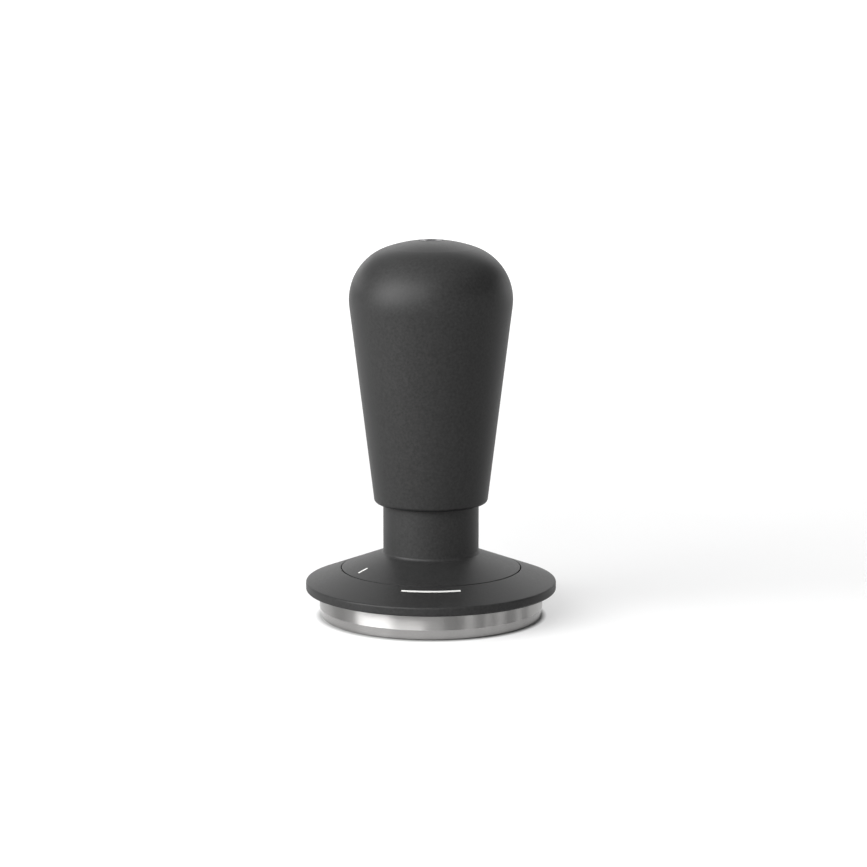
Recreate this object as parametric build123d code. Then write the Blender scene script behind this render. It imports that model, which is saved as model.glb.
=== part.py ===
from build123d import *
from math import cos, radians, sin, sqrt, tan
import os

# Espresso tamper with a calibrated strike, a turning depth flange and a steel tamping base.
# Millimetres, +Z up, axis on Z. The tamping face lies on Z = 0 and the flange mark faces -Y.
# At rest the grip is fully up and the flange is one mark (60 degrees) past its shallow stop.

# ---------------------------------------------------------------- clearances
SEAT_GAP = 0.05         # faces of neighbouring pieces that rest on each other
RUNNING_GAP = 0.05      # radial gap of a turned piece that slides or turns in a bore
LOOSE_GAP = 0.2         # pieces that pass each other without guiding
HALF_GAP = LOOSE_GAP / 2
SEAM_GAP = 0.3          # visible joint between the flange and the cone
OVERRUN = 1.0           # cuts go this far past the faces they open

# ---------------------------------------------------------------- tamping base
BASE_DIAMETER = 58.5
BASE_HEIGHT = 6.6
BASE_BEVEL_HEIGHT = 2.3     # long shallow bevel above the edge
BASE_BEVEL_INSET = 0.4
BASE_EDGE = 0.4             # 45 degree break at the tamping face
BASE_TOP_BREAK = 0.3
HUB_RECESS_DEPTH = 2.3
HUB_PLATE_THICKNESS = 3.7

# ---------------------------------------------------------------- flange and depth thread
FLANGE_OVERHANG = 3.55      # flange rim beyond the base
FLANGE_SEAT_RISE = 0.45     # underside that meets the basket rim, above the base
RIM_HEIGHT = 2.3
RIM_ROUND = 0.5
CONE_SLOPE = 20.65          # degrees above the horizontal, shared by flange and cone
SEAM_INSET = 5.7            # seam inside the base's edge
DEPTH_LEAD = 6.0            # travel of the base for one turn of the flange
DEPTH_UP = 1.0              # base travel above the rest setting
DEPTH_DOWN = 2.0            # base travel below the rest setting
WEB_THICKNESS = 2.05
POCKET_HEADROOM = 0.45      # base to pocket roof at the shallow stop
POCKET_MARGIN = 0.35        # pocket wall beyond the base
COLLAR_HEIGHT = 1.5         # collar above the web
COLLAR_WALL = 1.8
SKIRT_WALL = 1.8
HUB_WALL = 3.0
HUB_BOSS_GAP = 1.1

# ---------------------------------------------------------------- housing
NECK_DIAMETER = 25.0
NECK_SHOWN = 13.2           # neck left bare between the cone and the grip
NECK_WALL = 1.5
NECK_FOOT_FILLET = 0.7
CONE_WALL = 1.35
FLOOR_THICKNESS = 2.8
NECK_TOP_LAND = 1.75        # tube left above the neck clip
NECK_TOP_BREAK = 0.4

# ---------------------------------------------------------------- striking train
STROKE = 9.0                # travel of the grip down the neck
ANVIL_THICKNESS = 4.0
ANVIL_GROOVE_INNER, ANVIL_GROOVE_OUTER, ANVIL_GROOVE_DEPTH = 4.0, 6.5, 2.5
PIN_FOOT_RADIUS, PIN_FOOT_HEIGHT = 3.0, 0.6
PIN_EDGE = 0.3
PIN_COLLAR_THICKNESS = 2.4
PIN_COLLAR_MARGIN = 0.4     # collar radius inside the trip sleeve
PIN_TIP_RADIUS = 2.0
PIN_TIP_GAP = 0.5           # tip below the hammer
SLEEVE_WALL = 0.9
SLEEVE_FLANGE = 2.5
SLEEVE_MOUTH = 0.4          # lead-in at the sleeve's foot
SLEEVE_OVERLAP = 1.5        # sleeve passes the collar's top by this much at full stroke
HAMMER_FLANGE_THICKNESS = 5.0
HAMMER_BORE_MARGIN = 0.3    # bore radius beyond the pin's tip
HAMMER_BORE_SPARE = 1.5     # bore depth beyond the stroke
HAMMER_EDGE = 0.4
STRIKE_GAP = 0.2            # hammer to collar once it has dropped

# ---------------------------------------------------------------- springs: wire diameter, turns
RETURN_WIRE, RETURN_TURNS = 1.1, 12
MAIN_WIRE, MAIN_TURNS = 1.8, 5.1
PIN_SPRING_WIRE, PIN_SPRING_TURNS = 0.8, 2.5
MAIN_SPRING_MARGIN = 0.95   # main spring inside the seat pins
PIN_SPRING_OUTER = 6.2
SPRING_POCKET_DEPTH = 3.0
SPRING_SPARE = 1.5          # left open when the main spring is squeezed to the full

# ---------------------------------------------------------------- grip
GRIP_FOOT_WALL = 1.36
GRIP_TAPER = 7.06           # degrees from the axis
GRIP_SHOULDER_RADIUS = 14.3
GRIP_CROWN_RADIUS = 35.0
GRIP_FOOT_ROUND = 1.1
GRIP_CROWN_THICKNESS = 7.85
GRIP_UPPER_INSET = 0.6      # upper bore is this much smaller than the lower one
BUSH_WALL = 0.85
BUSH_LENGTH = 9.0
WIPER_HEIGHT = 1.5
FOOT_LAND = 0.6             # grip left below the bush clip
CLIP_THICKNESS = 1.0
CLIP_BITE = 0.5             # depth of a clip in its groove
NECK_CLIP_STAND = 0.7       # neck clip beyond the neck
CLIP_CLEARANCE = 0.25       # clip in the grip to the neck
CLIP_OPENING = 40.0         # degrees left open between the ends of a clip
CROWN_HOLE_BREAK = 0.15
BUMP_THICKNESS = 1.2
KEY_WIDTH, KEY_HEIGHT, KEY_DEPTH = 3.0, 2.5, 1.0

# ---------------------------------------------------------------- force adjuster
ADJUSTER_HEAD_RADIUS = 3.0
ADJUSTER_SINK = 0.1         # screw below the height that the crown would reach on the axis
ADJUSTER_FLANGE_RADIUS, ADJUSTER_FLANGE_THICKNESS = 6.5, 2.0
ADJUSTER_HEX, ADJUSTER_HEX_DEPTH = 3.0, 3.5
ADJUSTER_THREAD_RADIUS = 4.0
ADJUSTER_EDGE, ADJUSTER_THREAD_EDGE = 0.2, 0.5
THREAD_BEYOND_SEAT = 5.5    # thread left below the seat at its lowest
WASHER_THICKNESS = 0.5
SEAT_THICKNESS = 4.0
SEAT_TRAVEL = 4.5
SEAT_PIN_RADIUS, SEAT_PIN_MARGIN, SEAT_PIN_BITE, SEAT_PIN_COUNT = 1.25, 1.35, 3.0, 2
SEAT_PIN_BEYOND = 1.0       # pin left below the seat at its lowest

# ---------------------------------------------------------------- small parts
GUIDE_PIN_RADIUS, GUIDE_PIN_MARGIN, GUIDE_PIN_COUNT = 2.0, 0.8, 3
GUIDE_PIN_FOOT_Z = 3.0
BASE_BLIND_FLOOR = 1.8      # steel left under the blind holes
HUB_SCREW_RADIUS, HUB_SCREW_HEAD, HUB_SCREW_CIRCLE, HUB_SCREW_COUNT = 1.5, 2.8, 8.0, 3
HUB_SCREW_SINK, HUB_SCREW_HEX, HUB_SCREW_HEX_DEPTH = 0.1, 2.0, 1.1
WIRE_DIAMETER, WIRE_HEIGHT = 0.8, 1.3
WIRE_OPENING = 20.0         # degrees left open between the wire's ends
CLICK_ROOM = 0.6            # collar to the roof over the click spring
CLICK_THICKNESS, CLICK_BUMP, CLICK_BUMP_RISE, CLICK_COUNT = 0.25, 0.55, 0.3, 3
CLICK_NOTCHES, CLICK_NOTCH_DEPTH = 24, 0.45
RIVET_RADIUS, RIVET_LENGTH, RIVET_HEAD, RIVET_HEAD_HEIGHT = 0.4, 1.0, 0.2, 0.15
STOP_PIN_RADIUS, STOP_PIN_BITE, STOP_PIN_STAND = 0.6, 1.2, 0.65

# ---------------------------------------------------------------- marks
MARK_WIDTH, MARK_DEPTH = 0.65, 0.2
MARK_LIFT = 0.5             # the mark's cutter stands this far out of the cone
FLANGE_MARK_OUTSET, FLANGE_MARK_SPAN = 2.05, 34.0   # middle of the mark beyond the seam, degrees
TICK_INSET, TICK_LENGTH, TICK_AZIMUTH = 1.7, 2.7, 60.0

# ================================================================ worked out from the above
base_radius = BASE_DIAMETER / 2
flange_radius = base_radius + FLANGE_OVERHANG
neck_radius = NECK_DIAMETER / 2
neck_bore = neck_radius - NECK_WALL
flange_seat_z = BASE_HEIGHT + FLANGE_SEAT_RISE
rim_top_z = flange_seat_z + RIM_HEIGHT
depth_turn_up = 360 * DEPTH_UP / DEPTH_LEAD
depth_turn_down = 360 * DEPTH_DOWN / DEPTH_LEAD


def cone_z(radius):
    """Height of the shared cone surface at a radius."""
    return rim_top_z + (flange_radius - radius) * tan(radians(CONE_SLOPE))


# Flange, from the pocket over the base up to the click collar.
pocket_roof_z = BASE_HEIGHT + DEPTH_UP + POCKET_HEADROOM
pocket_radius = base_radius + POCKET_MARGIN
web_top_z = pocket_roof_z + WEB_THICKNESS
collar_top_z = web_top_z + COLLAR_HEIGHT
seam_radius = base_radius - SEAM_INSET
seam_outer = seam_radius + SEAM_GAP / 2
seam_inner = seam_radius - SEAM_GAP / 2
skirt_bottom_z = web_top_z + RUNNING_GAP * 2
skirt_bore = seam_inner - SKIRT_WALL
collar_radius = skirt_bore - LOOSE_GAP
collar_bore = collar_radius - COLLAR_WALL
click_roof_z = collar_top_z + CLICK_ROOM
click_circle = (collar_bore + collar_radius) / 2
wire_z = skirt_bottom_z + WIRE_HEIGHT

# Base hub, which the collar turns on.
hub_radius = collar_bore - RUNNING_GAP * 2
hub_bore = hub_radius - HUB_WALL
hub_floor_z = BASE_HEIGHT - HUB_RECESS_DEPTH
boss_radius = hub_bore - HUB_BOSS_GAP
guide_pin_circle = boss_radius - GUIDE_PIN_MARGIN - GUIDE_PIN_RADIUS
roof_z = cone_z(hub_radius + LOOSE_GAP) - CONE_WALL
hub_top_z = roof_z - DEPTH_UP - HALF_GAP
hub_plate_top_z = hub_floor_z + HUB_PLATE_THICKNESS
boss_bottom_z = hub_plate_top_z + DEPTH_UP + LOOSE_GAP

# Housing, up the neck.
floor_z = boss_bottom_z + FLOOR_THICKNESS
neck_foot_z = cone_z(neck_radius)
grip_foot_z = neck_foot_z + NECK_SHOWN
bush_clip_z = grip_foot_z + FOOT_LAND
wiper_z = bush_clip_z + CLIP_THICKNESS
bush_z = wiper_z + WIPER_HEIGHT
bush_top_z = bush_z + BUSH_LENGTH
neck_clip_z = bush_top_z + SEAT_GAP
neck_top_z = neck_clip_z + CLIP_THICKNESS + NECK_TOP_LAND
bump_top_z = neck_top_z + BUMP_THICKNESS
ledge_z = bump_top_z + STROKE + HALF_GAP
ledge_top_z = ledge_z + SLEEVE_FLANGE
sleeve_clip_z = ledge_z - SEAT_GAP - CLIP_THICKNESS
key_foot_z = bush_top_z - KEY_HEIGHT

# Radii of the grip's bores and what slides in them.
bush_bore = neck_radius + RUNNING_GAP
grip_bore = bush_bore + BUSH_WALL
grip_foot_radius = grip_bore + GRIP_FOOT_WALL
grip_upper_bore = grip_bore - GRIP_UPPER_INSET
hammer_flange_radius = grip_upper_bore - 2 * LOOSE_GAP
seat_pin_circle = grip_upper_bore - SEAT_PIN_MARGIN - SEAT_PIN_RADIUS
main_spring_outer = seat_pin_circle - SEAT_PIN_RADIUS - MAIN_SPRING_MARGIN
return_outer = neck_bore - LOOSE_GAP
sleeve_radius = return_outer - RETURN_WIRE - LOOSE_GAP
sleeve_bore = sleeve_radius - SLEEVE_WALL
shank_radius = sleeve_bore - 2 * RUNNING_GAP
collar_pin_radius = sleeve_bore - PIN_COLLAR_MARGIN

# Heights of the striking train.
anvil_top_z = floor_z + ANVIL_THICKNESS
pin_collar_z = anvil_top_z + PIN_FOOT_HEIGHT
pin_collar_top_z = pin_collar_z + PIN_COLLAR_THICKNESS
hammer_foot_z = pin_collar_top_z + STRIKE_GAP + STROKE
pin_tip_z = hammer_foot_z - PIN_TIP_GAP
sleeve_foot_z = pin_collar_top_z - SLEEVE_OVERLAP + STROKE
hammer_flange_z = ledge_top_z + SEAT_GAP
hammer_top_z = hammer_flange_z + HAMMER_FLANGE_THICKNESS
spring_pocket_z = hammer_top_z - SPRING_POCKET_DEPTH
spring_solid = MAIN_WIRE * MAIN_TURNS
seat_z = spring_pocket_z + STROKE + SEAT_TRAVEL + spring_solid + SPRING_SPARE
seat_top_z = seat_z + SEAT_THICKNESS
adjuster_flange_z = seat_top_z + 2 * LOOSE_GAP
washer_z = adjuster_flange_z + ADJUSTER_FLANGE_THICKNESS
ceiling_z = washer_z + WASHER_THICKNESS + SEAT_GAP
crown_z = ceiling_z + GRIP_CROWN_THICKNESS
adjuster_top_z = crown_z - ADJUSTER_SINK
thread_end_z = seat_z - SEAT_TRAVEL - THREAD_BEYOND_SEAT
seat_pin_z = seat_z - SEAT_TRAVEL - SEAT_PIN_BEYOND


# ================================================================ shapes used more than once
def turned(points):
    """A solid turned about Z from a closed outline of (radius, height) points."""
    outline = Polyline(*[(radius, 0, z) for radius, z in points], close=True)
    return revolve(make_face(outline), Axis.Z)


def rod(radius, bottom, top, x=0.0, y=0.0):
    """A plain round bar that stands along Z."""
    return Pos(x, y, (bottom + top) / 2) * Cylinder(radius, top - bottom)


def tube(bore, outer, bottom, top):
    """A plain tube on the axis."""
    return turned([(bore, bottom), (outer, bottom), (outer, top), (bore, top)])


def around(count, radius, start=0.0):
    """Points evenly spaced on a circle about the axis."""
    angles = [radians(start + 360 * i / count) for i in range(count)]
    return [(radius * cos(a), radius * sin(a)) for a in angles]


def sector(radius, bottom, top, centre, span):
    """A wedge of a disc, to cut an opening or a part turn out of a ring."""
    wedge = Pos(0, 0, bottom) * Cylinder(
        radius, top - bottom, arc_size=span, align=(Align.NONE, Align.NONE, Align.MIN)
    )
    return Rot(0, 0, centre - span / 2) * wedge


def snap_ring(bore, outer, bottom, opening_at):
    """A flat snap ring, open by CLIP_OPENING degrees at one side."""
    top = bottom + CLIP_THICKNESS
    ring = tube(bore, outer, bottom, top)
    return ring - sector(outer + OVERRUN, bottom - OVERRUN, top + OVERRUN, opening_at, CLIP_OPENING)


def coil(outer, wire, bottom, top, turns):
    """A compression spring with its ends ground flat."""
    mean = outer - wire / 2
    height = top - bottom
    path = Helix(pitch=height / turns, height=height, radius=mean)
    section = Plane(origin=path @ 0, z_dir=path % 0) * Circle(wire / 2)
    spring = Pos(0, 0, bottom) * sweep(section, path=path, is_frenet=True)
    return spring & tube(mean - wire, mean + wire, bottom, top)


def circle_edges(solid, radius, z):
    """The circular edges of that radius, centred on the axis at that height."""
    found = solid.edges().filter_by(GeomType.CIRCLE)
    return [e for e in found if abs(e.radius - radius) < 1e-3 and abs(e.arc_center.Z - z) < 1e-3]


def on_cone(radius, depth):
    """A point of the section that lies below the cone surface by a depth, as (radius, height)."""
    slope = radians(CONE_SLOPE)
    return radius - depth * sin(slope), cone_z(radius) - depth * cos(slope)


def mark_face(inner, outer, lift):
    """Section of a mark sunk in the cone surface, or of its cutter when it stands out by a lift."""
    low = [on_cone(inner, MARK_DEPTH), on_cone(outer, MARK_DEPTH)]
    high = [on_cone(outer, -lift), on_cone(inner, -lift)]
    return make_face(Polyline(*[(radius, 0, z) for radius, z in low + high], close=True))


# ================================================================ tamping base
def base_disc():
    """Steel disc with a bevelled edge, a recess for the hub and blind holes for pins and screws."""
    low = base_radius - BASE_BEVEL_INSET
    disc = turned([
        (0, 0),
        (low - BASE_EDGE, 0),
        (low, BASE_EDGE),
        (base_radius, BASE_EDGE + BASE_BEVEL_HEIGHT),
        (base_radius, BASE_HEIGHT - BASE_TOP_BREAK),
        (base_radius - BASE_TOP_BREAK, BASE_HEIGHT),
        (hub_radius + RUNNING_GAP, BASE_HEIGHT),
        (hub_radius + RUNNING_GAP, hub_floor_z),
        (0, hub_floor_z),
    ])
    for x, y in around(GUIDE_PIN_COUNT, guide_pin_circle):
        disc -= rod(GUIDE_PIN_RADIUS + RUNNING_GAP, BASE_BLIND_FLOOR, BASE_HEIGHT, x, y)
    for x, y in around(HUB_SCREW_COUNT, HUB_SCREW_CIRCLE, 60):
        disc -= rod(HUB_SCREW_RADIUS, BASE_BLIND_FLOOR, BASE_HEIGHT, x, y)
    return disc


def base_hub():
    """Cup that carries the depth thread, screwed into the disc and slotted over the guide pins."""
    hub = turned([
        (0, hub_floor_z),
        (hub_radius, hub_floor_z),
        (hub_radius, hub_top_z),
        (hub_bore, hub_top_z),
        (hub_bore, hub_plate_top_z),
        (0, hub_plate_top_z),
    ])
    cut_top = hub_plate_top_z + OVERRUN
    for x, y in around(GUIDE_PIN_COUNT, guide_pin_circle):
        hub -= rod(GUIDE_PIN_RADIUS + RUNNING_GAP, hub_floor_z - OVERRUN, cut_top, x, y)
    head_top = hub_plate_top_z - HUB_SCREW_SINK
    for x, y in around(HUB_SCREW_COUNT, HUB_SCREW_CIRCLE, 60):
        hub -= rod(HUB_SCREW_RADIUS + RUNNING_GAP, hub_floor_z - OVERRUN, cut_top, x, y)
        hub -= Pos(x, y, 0) * screw_head(head_top, SEAT_GAP)
        hub -= rod(HUB_SCREW_HEAD + SEAT_GAP, head_top, cut_top, x, y)
    return hub


def screw_head(top, extra=0.0):
    """Countersunk head that ends at a height, or the sink for one when it has extra room."""
    height = HUB_SCREW_HEAD - HUB_SCREW_RADIUS
    return turned([
        (0, top - height),
        (HUB_SCREW_RADIUS + extra, top - height),
        (HUB_SCREW_HEAD + extra, top),
        (0, top),
    ])


def hub_screws():
    """Countersunk hexagon-socket screws that hold the hub to the disc."""
    top = hub_plate_top_z - HUB_SCREW_SINK
    foot = top - HUB_SCREW_HEAD + HUB_SCREW_RADIUS
    hexagon = RegularPolygon(HUB_SCREW_HEX / 2, 6, major_radius=False)
    socket = Pos(0, 0, top) * extrude(hexagon, -HUB_SCREW_HEX_DEPTH)
    screw = screw_head(top) + rod(HUB_SCREW_RADIUS, BASE_BLIND_FLOOR + LOOSE_GAP, foot) - socket
    return [Pos(x, y, 0) * screw for x, y in around(HUB_SCREW_COUNT, HUB_SCREW_CIRCLE, 60)]


# ================================================================ depth flange
def flange_mark_band(lift=0.0):
    """Part turn of a thin band in the cone surface, facing -Y."""
    inner = seam_outer + FLANGE_MARK_OUTSET - MARK_WIDTH / 2
    outer = inner + MARK_WIDTH
    band = revolve(mark_face(inner, outer, lift), Axis.Z, FLANGE_MARK_SPAN)
    return Rot(0, 0, -90 - FLANGE_MARK_SPAN / 2) * band


def flange_ring():
    """Outer flange: seats on the basket rim, turns on the cone's skirt and drives the depth thread."""
    wire_bite = WIRE_DIAMETER / 2 + RUNNING_GAP
    ring = turned([
        (collar_bore, pocket_roof_z),
        (pocket_radius, pocket_roof_z),
        (pocket_radius, flange_seat_z),
        (flange_radius, flange_seat_z),
        (flange_radius, rim_top_z),
        (seam_outer, cone_z(seam_outer)),
        (seam_outer, wire_z + wire_bite),
        (seam_radius + wire_bite, wire_z + wire_bite),
        (seam_radius + wire_bite, wire_z - wire_bite),
        (seam_outer, wire_z - wire_bite),
        (seam_outer, web_top_z),
        (collar_radius, web_top_z),
        (collar_radius, collar_top_z),
        (collar_bore, collar_top_z),
    ])
    ring = fillet(circle_edges(ring, flange_radius, flange_seat_z), RIM_ROUND)
    ring = fillet(circle_edges(ring, flange_radius, rim_top_z), RIM_ROUND)
    ring -= flange_mark_band(MARK_LIFT)
    notch = Sphere(CLICK_BUMP + RUNNING_GAP)
    sink = CLICK_BUMP + RUNNING_GAP - CLICK_NOTCH_DEPTH
    for x, y in around(CLICK_NOTCHES, click_circle):
        ring -= Pos(x, y, collar_top_z + sink) * notch
    x, y = stop_pin_place()
    return ring - rod(STOP_PIN_RADIUS, web_top_z - STOP_PIN_BITE, web_top_z + OVERRUN, x, y)


def flange_mark():
    """Paint that fills the long mark of the flange."""
    return flange_mark_band()


def stop_pin_place():
    """Centre of the stop pin at rest, in the middle of the skirt's wall."""
    radius = (skirt_bore + seam_inner - WIRE_DIAMETER) / 2
    return radius, 0.0


def stop_pin():
    """Pin in the flange's web that ends its turn in the skirt's slot."""
    x, y = stop_pin_place()
    return rod(STOP_PIN_RADIUS, web_top_z - STOP_PIN_BITE, web_top_z + STOP_PIN_STAND, x, y)


# ================================================================ housing
def tick_bar(lift=0.0):
    """Radial bar along the cone surface at the tick's azimuth."""
    outer = seam_inner - TICK_INSET
    face = mark_face(outer - TICK_LENGTH, outer, lift)
    return Rot(0, 0, -90 - TICK_AZIMUTH) * extrude(face, MARK_WIDTH / 2, both=True)


def neck_housing():
    """Neck tube, cone and skirt turned in one piece, with the floor that carries the anvil."""
    groove = WIRE_DIAMETER / 2 + RUNNING_GAP
    clip_top = neck_clip_z + CLIP_THICKNESS
    housing = turned([
        (0, boss_bottom_z),
        (boss_radius, boss_bottom_z),
        (boss_radius, roof_z),
        (hub_radius + LOOSE_GAP, roof_z),
        (hub_radius + LOOSE_GAP, click_roof_z),
        (skirt_bore, click_roof_z),
        (skirt_bore, skirt_bottom_z),
        (seam_inner, skirt_bottom_z),
        (seam_inner, wire_z - groove),
        (seam_inner - WIRE_DIAMETER, wire_z - groove),
        (seam_inner - WIRE_DIAMETER, wire_z + groove),
        (seam_inner, wire_z + groove),
        (seam_inner, cone_z(seam_inner)),
        (neck_radius, neck_foot_z),
        (neck_radius, neck_clip_z),
        (neck_radius - CLIP_BITE, neck_clip_z),
        (neck_radius - CLIP_BITE, clip_top),
        (neck_radius, clip_top),
        (neck_radius, neck_top_z - NECK_TOP_BREAK),
        (neck_radius - NECK_TOP_BREAK, neck_top_z),
        (neck_bore, neck_top_z),
        (neck_bore, floor_z),
        (0, floor_z),
    ])
    housing = fillet(circle_edges(housing, neck_radius, neck_foot_z), NECK_FOOT_FILLET)
    housing -= tick_bar(MARK_LIFT)
    housing -= key_block(KEY_WIDTH + 2 * RUNNING_GAP, KEY_DEPTH + RUNNING_GAP,
                         key_foot_z - STROKE - RUNNING_GAP, neck_top_z + OVERRUN)
    for x, y in around(GUIDE_PIN_COUNT, guide_pin_circle):
        housing -= rod(GUIDE_PIN_RADIUS, boss_bottom_z - OVERRUN, floor_z - HALF_GAP, x, y)
    for x, y in around(CLICK_COUNT, click_circle, 60):
        housing -= rod(RIVET_RADIUS, click_roof_z - OVERRUN, click_roof_z + RIVET_LENGTH, x, y)
    return housing - stop_slot()


def stop_slot():
    """Slot in the skirt's underside that the stop pin runs in, from the shallow to the deep stop."""
    radius = stop_pin_place()[0]
    reach = STOP_PIN_RADIUS + RUNNING_GAP
    span = depth_turn_up + depth_turn_down
    top = web_top_z + STOP_PIN_STAND + RUNNING_GAP
    # The housing stays still, so the slot runs from the pin's place at one stop to the other.
    bottom = skirt_bottom_z - OVERRUN
    slot = tube(radius - reach, radius + reach, bottom, top)
    slot &= sector(skirt_bore + SKIRT_WALL, bottom, top, (depth_turn_down - depth_turn_up) / 2, span)
    for angle in (-depth_turn_up, depth_turn_down):
        slot += Rot(0, 0, angle) * rod(reach, bottom, top, radius, 0)
    return slot


def index_tick():
    """Paint that fills the short mark of the cone."""
    return tick_bar()


def anvil():
    """Hardened disc on the housing's floor, with a recess for the pin spring."""
    radius = neck_bore - RUNNING_GAP / 2
    groove_floor = anvil_top_z - ANVIL_GROOVE_DEPTH
    return turned([
        (0, floor_z),
        (radius, floor_z),
        (radius, anvil_top_z),
        (ANVIL_GROOVE_OUTER, anvil_top_z),
        (ANVIL_GROOVE_OUTER, groove_floor),
        (ANVIL_GROOVE_INNER, groove_floor),
        (ANVIL_GROOVE_INNER, anvil_top_z),
        (0, anvil_top_z),
    ])


def trip_pin():
    """Stepped pin: a small foot, a wide collar and a slim tip that holds the hammer up."""
    return turned([
        (0, anvil_top_z),
        (PIN_FOOT_RADIUS - PIN_EDGE, anvil_top_z),
        (PIN_FOOT_RADIUS, anvil_top_z + PIN_EDGE),
        (PIN_FOOT_RADIUS, pin_collar_z),
        (collar_pin_radius, pin_collar_z),
        (collar_pin_radius, pin_collar_top_z - 2 * PIN_EDGE),
        (collar_pin_radius - 2 * PIN_EDGE, pin_collar_top_z),
        (PIN_TIP_RADIUS, pin_collar_top_z),
        (PIN_TIP_RADIUS, pin_tip_z - PIN_EDGE),
        (PIN_TIP_RADIUS - PIN_EDGE, pin_tip_z),
        (0, pin_tip_z),
    ])


def pin_spring():
    """Light spring under the pin's collar."""
    bottom = anvil_top_z - ANVIL_GROOVE_DEPTH
    return coil(PIN_SPRING_OUTER, PIN_SPRING_WIRE, bottom, pin_collar_z, PIN_SPRING_TURNS)


def guide_pins():
    """Dowels that let the base slide and stop it turning."""
    pin = rod(GUIDE_PIN_RADIUS, GUIDE_PIN_FOOT_Z, floor_z - HALF_GAP)
    return [Pos(x, y, 0) * pin for x, y in around(GUIDE_PIN_COUNT, guide_pin_circle)]


def neck_clip():
    """Snap ring near the top of the neck that ends the grip's upward travel."""
    return snap_ring(neck_radius - CLIP_BITE, neck_radius + NECK_CLIP_STAND, neck_clip_z, -90)


def bump_stop():
    """Rubber washer on the neck's end that ends the downward travel."""
    return tube(neck_bore + HALF_GAP, neck_radius - HALF_GAP, neck_top_z, bump_top_z)


def flange_wire():
    """Round wire ring that holds the flange to the skirt."""
    section = Pos(seam_radius, 0, wire_z) * Rot(90, 0, 0) * Circle(WIRE_DIAMETER / 2)
    return Rot(0, 0, WIRE_OPENING / 2) * revolve(section, Axis.Z, 360 - WIRE_OPENING)


def click_spring():
    """Thin ring with bumps that drop into the flange's notches."""
    bottom = click_roof_z - CLICK_THICKNESS
    ring = tube(collar_bore + LOOSE_GAP, collar_radius - HALF_GAP, bottom, click_roof_z)
    below = rod(skirt_bore, bottom - OVERRUN, bottom)
    centre = bottom - CLICK_BUMP_RISE + CLICK_BUMP
    for x, y in around(CLICK_COUNT, click_circle):
        ring += Pos(x, y, centre) * Sphere(CLICK_BUMP) & below
    for x, y in around(CLICK_COUNT, click_circle, 60):
        ring -= rod(RIVET_RADIUS, bottom - OVERRUN, click_roof_z + OVERRUN, x, y)
    return ring


def click_rivets():
    """Rivets that hold the click spring under the cone."""
    bottom = click_roof_z - CLICK_THICKNESS
    head = rod(RIVET_RADIUS + RIVET_HEAD, bottom - RIVET_HEAD_HEIGHT, bottom)
    rivet = head + rod(RIVET_RADIUS, bottom, click_roof_z + RIVET_LENGTH)
    return [Pos(x, y, 0) * rivet for x, y in around(CLICK_COUNT, click_circle, 60)]


# ================================================================ grip
def grip_face():
    """Section of the solid grip: foot, taper, shoulder arc and crown arc, tangent to one another."""
    taper = radians(GRIP_TAPER)
    along, out = Vector(sin(taper), 0, cos(taper)), Vector(cos(taper), 0, -sin(taper))
    foot = Vector(grip_foot_radius, 0, grip_foot_z)
    crown_centre = Vector(0, 0, crown_z - GRIP_CROWN_RADIUS)
    # The shoulder's centre lies inside the taper by its radius and inside the crown's circle likewise.
    to_start = foot - out * GRIP_SHOULDER_RADIUS - crown_centre
    reach = GRIP_CROWN_RADIUS - GRIP_SHOULDER_RADIUS
    half = to_start.dot(along)
    length = -half + sqrt(half * half - to_start.dot(to_start) + reach * reach)
    taper_end = foot + along * length
    shoulder_centre = taper_end - out * GRIP_SHOULDER_RADIUS
    join = (shoulder_centre - crown_centre).normalized()
    shoulder_end = crown_centre + join * GRIP_CROWN_RADIUS
    shoulder_mid = shoulder_centre + (out + join).normalized() * GRIP_SHOULDER_RADIUS
    crown_mid = crown_centre + (join + Vector(0, 0, 1)).normalized() * GRIP_CROWN_RADIUS
    edges = [
        Line((0, 0, grip_foot_z), foot),
        Line(foot, taper_end),
        ThreePointArc(taper_end, shoulder_mid, shoulder_end),
        ThreePointArc(shoulder_end, crown_mid, (0, 0, crown_z)),
        Line((0, 0, crown_z), (0, 0, grip_foot_z)),
    ]
    return make_face(edges)


def grip_shell():
    """Tapered aluminium grip, bored from below, with a small hole in its crown for the adjuster."""
    grip = revolve(grip_face(), Axis.Z)
    grip = fillet(circle_edges(grip, grip_foot_radius, grip_foot_z), GRIP_FOOT_ROUND)
    groove = grip_bore + CLIP_BITE
    hole = ADJUSTER_HEAD_RADIUS + RUNNING_GAP
    mouth_z = crown_z - GRIP_CROWN_RADIUS + sqrt(GRIP_CROWN_RADIUS**2 - hole**2)
    bores = turned([
        (0, grip_foot_z - OVERRUN),
        (grip_bore, grip_foot_z - OVERRUN),
        (grip_bore, bush_clip_z),
        (groove, bush_clip_z),
        (groove, bush_clip_z + CLIP_THICKNESS),
        (grip_bore, bush_clip_z + CLIP_THICKNESS),
        (grip_bore, sleeve_clip_z),
        (groove, sleeve_clip_z),
        (groove, sleeve_clip_z + CLIP_THICKNESS),
        (grip_bore, sleeve_clip_z + CLIP_THICKNESS),
        (grip_bore, ledge_top_z),
        (grip_upper_bore, ledge_top_z),
        (grip_upper_bore, ceiling_z),
        (hole, ceiling_z),
        (hole, mouth_z - CROWN_HOLE_BREAK),
        (hole + 2 * CROWN_HOLE_BREAK, mouth_z + CROWN_HOLE_BREAK),
        (hole + 2 * CROWN_HOLE_BREAK, crown_z + OVERRUN),
        (0, crown_z + OVERRUN),
    ])
    grip -= bores
    for x, y in around(SEAT_PIN_COUNT, seat_pin_circle):
        grip -= rod(SEAT_PIN_RADIUS, ceiling_z - OVERRUN, ceiling_z + SEAT_PIN_BITE, x, y)
    return grip


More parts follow.
